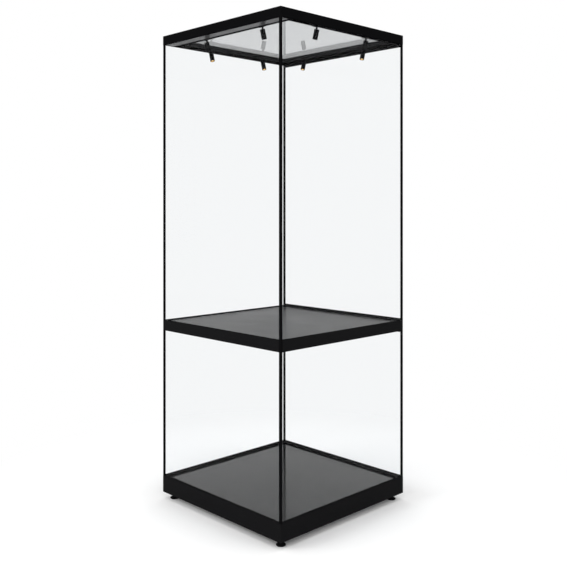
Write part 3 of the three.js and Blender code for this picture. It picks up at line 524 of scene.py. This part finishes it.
low, high = (Vector(corner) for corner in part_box("ceiling_frame"))
for step in range(SCREWS_PER_SIDE):
    along = (step + 0.5) / SCREWS_PER_SIDE
    x = low.x + along * (high.x - low.x)
    y = low.y + along * (high.y - low.y)
    screw_down(f"flange_screw_front_{step}", x, low.y + FLANGE_LINE, low.z)
    screw_down(f"flange_screw_back_{step}", x, high.y - FLANGE_LINE, low.z)
    screw_down(f"flange_screw_left_{step}", low.x + FLANGE_LINE, y, low.z)
    screw_down(f"flange_screw_right_{step}", high.x - FLANGE_LINE, y, low.z)
plate_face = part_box("base_frame")[0][2]
for corner in CORNERS:
    middle = centre(f"foot_{corner}")
    inward_x = -math.copysign(PLATE_SCREW, middle.x)
    inward_y = -math.copysign(PLATE_SCREW, middle.y)
    screw_down(f"plate_screw_x_{corner}", middle.x + inward_x, middle.y, plate_face)
    screw_down(f"plate_screw_y_{corner}", middle.x, middle.y + inward_y, plate_face)


# ---- Light track: a pair of copper conductors inside, on each side ----
STRIP_IN = (2.0 * MM, 14.4 * MM)  # from the outer face of the track, on either wall of its cavity
STRIP_THICKNESS = 0.6 * MM
STRIP_HEIGHT = 2 * MM
STRIP_LIFT = 8 * MM  # over the underside of the track
track_low, track_high = (Vector(corner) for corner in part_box("light_track"))
strip_foot = track_low.z + STRIP_LIFT
strip_top = strip_foot + STRIP_HEIGHT
for number, inset in enumerate(STRIP_IN):
    left, front = track_low.x + inset, track_low.y + inset
    right, back = track_high.x - inset, track_high.y - inset
    for side, (xa, xb, ya, yb) in {
        "front": (left, right, front, front + STRIP_THICKNESS),
        "back": (left, right, back - STRIP_THICKNESS, back),
        "left": (left, left + STRIP_THICKNESS, front, back),
        "right": (right - STRIP_THICKNESS, right, front, back),
    }.items():
        strip = bar("conductor", (xa, ya, strip_foot), (xb, yb, strip_top))
        show(f"conductor_{side}_{number}", strip, COPPER, "case")


# ---- LED driver ----
TAB_LENGTH = 12 * MM
TAB_HALF_WIDTH = 10 * MM
TAB_THICKNESS = 3 * MM
TAB_GAP = 0.1 * MM  # to the plate that it is screwed to
HOUSING_EDGE = 1.6 * MM
TAB_EDGE = 0.6 * MM
TERMINAL_LIFT = 10 * MM
TERMINAL_LOW = (-2 * MM, -13 * MM, -7 * MM)
TERMINAL_HIGH = (5 * MM, 13 * MM, 7 * MM)
TERMINAL_EDGE = 0.8 * MM
low, high = (Vector(corner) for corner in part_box("led_driver"))
middle_y = (low.y + high.y) / 2
left, right = low.x + TAB_LENGTH, high.x - TAB_LENGTH
housing = bar("housing", (left, low.y, low.z), (right, high.y, high.z), HOUSING_EDGE)
housing = show("led_driver_housing", housing, WHITE, "case")
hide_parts("led_driver")
tab_foot = high.z - TAB_THICKNESS
tab_low = (low.x, middle_y - TAB_HALF_WIDTH, tab_foot)
tab_high = (high.x, middle_y + TAB_HALF_WIDTH, high.z - TAB_GAP)
show("led_driver_tabs", bar("tab", tab_low, tab_high, TAB_EDGE), WHITE, "case")
for side, x in (("left", low.x + TAB_LENGTH / 2), ("right", high.x - TAB_LENGTH / 2)):
    screw_down(f"driver_screw_{side}", x, middle_y, tab_foot, STEEL)
for side, x, out in (("left", left, -1), ("right", right, 1)):
    terminal = bar("terminal", TERMINAL_LOW, TERMINAL_HIGH, TERMINAL_EDGE)
    place = Matrix.Translation((x, middle_y, low.z + TERMINAL_LIFT))
    terminal.transform(place @ Matrix.Diagonal((out, 1, 1, 1)))
    if out < 0:
        terminal.flip_normals()
    show(f"driver_terminal_{side}", terminal, PLASTIC, "case")


# ---- Floor, world, lamps and camera ----
SEEN = ("Is Camera Ray", "Is Transmission Ray", "Is Glossy Ray")
FLOOR_REACH = 60
SHADOW_REACH = (0.7, 1.6)  # the floor turns plain white between these distances from the middle
WORLD_LIGHT = 0.85


def white_floor():
    """White paper that keeps the shadow near the case and runs out to plain white."""
    material, tree, shader = new_material("floor")
    shader.inputs["Base Color"].default_value = (0.95, 0.95, 0.95, 1)
    shader.inputs["Roughness"].default_value = 0.9
    shader.inputs["Specular IOR Level"].default_value = 0.0
    plain = tree.nodes.new("ShaderNodeEmission")
    coordinates = tree.nodes.new("ShaderNodeTexCoord")
    length = tree.nodes.new("ShaderNodeVectorMath")
    length.operation = "LENGTH"
    tree.links.new(coordinates.outputs["Object"], length.inputs[0])
    away = tree.nodes.new("ShaderNodeMapRange")
    away.interpolation_type = "SMOOTHSTEP"
    away.inputs["From Min"].default_value = SHADOW_REACH[0]
    away.inputs["From Max"].default_value = SHADOW_REACH[1]
    tree.links.new(length.outputs["Value"], away.inputs["Value"])
    both = tree.nodes.new("ShaderNodeMath")
    both.operation = "MULTIPLY"
    tree.links.new(away.outputs["Result"], both.inputs[0])
    tree.links.new(any_of(tree, SEEN), both.inputs[1])
    mixed(tree, both.outputs[0], shader, plain, "Material Output")
    return material


floor_corners = [(-1, -1), (1, -1), (1, 1), (-1, 1)]
floor_points = [(x * FLOOR_REACH, y * FLOOR_REACH, 0) for x, y in floor_corners]
floor_mesh = bpy.data.meshes.new("floor")
floor_mesh.from_pydata(floor_points, [], [(0, 1, 2, 3)])
floor = show("floor", floor_mesh, white_floor(), None)

world = bpy.data.worlds.new("studio")
SCENE.world = world
world.use_nodes = True
tree = world.node_tree
background = tree.nodes["Background"]
background.inputs["Color"].default_value = (1, 1, 1, 1)
background.inputs["Strength"].default_value = WORLD_LIGHT
seen = tree.nodes.new("ShaderNodeBackground")
seen.inputs["Color"].default_value = (1, 1, 1, 1)
seen.inputs["Strength"].default_value = 1.0
mixed(tree, any_of(tree, SEEN), background, seen, "World Output")


def lamp(name, place, target, power, size=3.0):
    """A square soft light that points at the target."""
    light = bpy.data.lights.new(name, "AREA")
    light.shape = "SQUARE"
    light.size = size
    light.energy = power
    item = bpy.data.objects.new(name, light)
    SCENE.collection.objects.link(item)
    item.location = place
    aim = Vector(target) - Vector(place)
    item.rotation_euler = aim.to_track_quat("-Z", "Y").to_euler()
    item.visible_transmission = False  # a lamp isn't seen through the panes


lamp("key", (-2.2, -5.2, 3.4), (0, 0, 1.0), 170)
lamp("fill", (5.0, 1.5, 3.2), (0, 0, 1.0), 60)
lamp("top", (0.5, 0.0, 5.5), (0, 0, 0), 60)

CAMERA_PLACE = (2.664, -2.586, 1.382)
CAMERA_AIM = Vector((-0.7169, 0.6972, 0))  # level, so that upright edges stay upright
camera_data = bpy.data.cameras.new("camera")
camera_data.lens = 50
camera_data.sensor_width = 36
camera_data.shift_y = -0.138
camera = bpy.data.objects.new("camera", camera_data)
SCENE.collection.objects.link(camera)
camera.location = CAMERA_PLACE
camera.rotation_euler = CAMERA_AIM.to_track_quat("-Z", "Y").to_euler()
SCENE.camera = camera
SCENE.view_settings.view_transform = "Standard"
